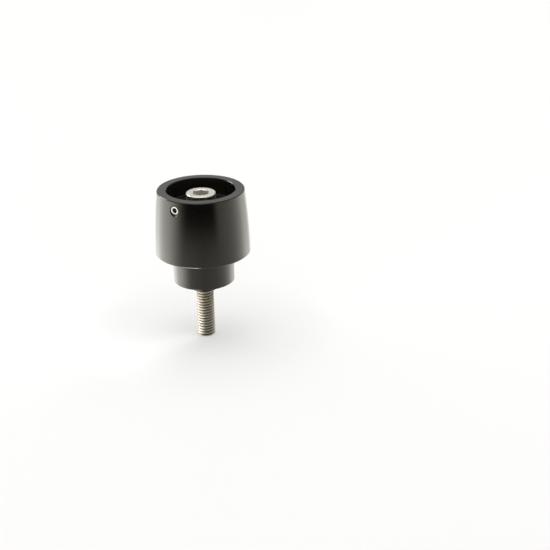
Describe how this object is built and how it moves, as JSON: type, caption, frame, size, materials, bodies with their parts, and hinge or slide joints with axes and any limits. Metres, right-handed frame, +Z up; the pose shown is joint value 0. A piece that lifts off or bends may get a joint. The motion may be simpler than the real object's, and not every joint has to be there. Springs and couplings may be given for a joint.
{
  "type": "bar end weight",
  "caption": "Turned handlebar end weight: a barrel with an open cup, a seat collar and a keyed spigot, with a socket cap screw through its axis and a side grub screw.",
  "frame": {"origin": "centre of the screw's tip, on the surface that the weight stands on", "axes": "+Z up along the axis, from the screw's tip to the open cup; -Y is the side towards the viewer, with the grub screw to the left of it"},
  "size_m": [0.0316, 0.0316, 0.0522],
  "materials": {
    "anodised_body": "black anodised, satin, fine turned",
    "screw_steel": "bright stainless steel",
    "grub_steel": "bright stainless steel"
  },
  "bodies": {
    "root": {"weight_body": "anodised_body", "cap_screw": "screw_steel", "grub_screw": "grub_steel"}
  },
  "joints": []
}
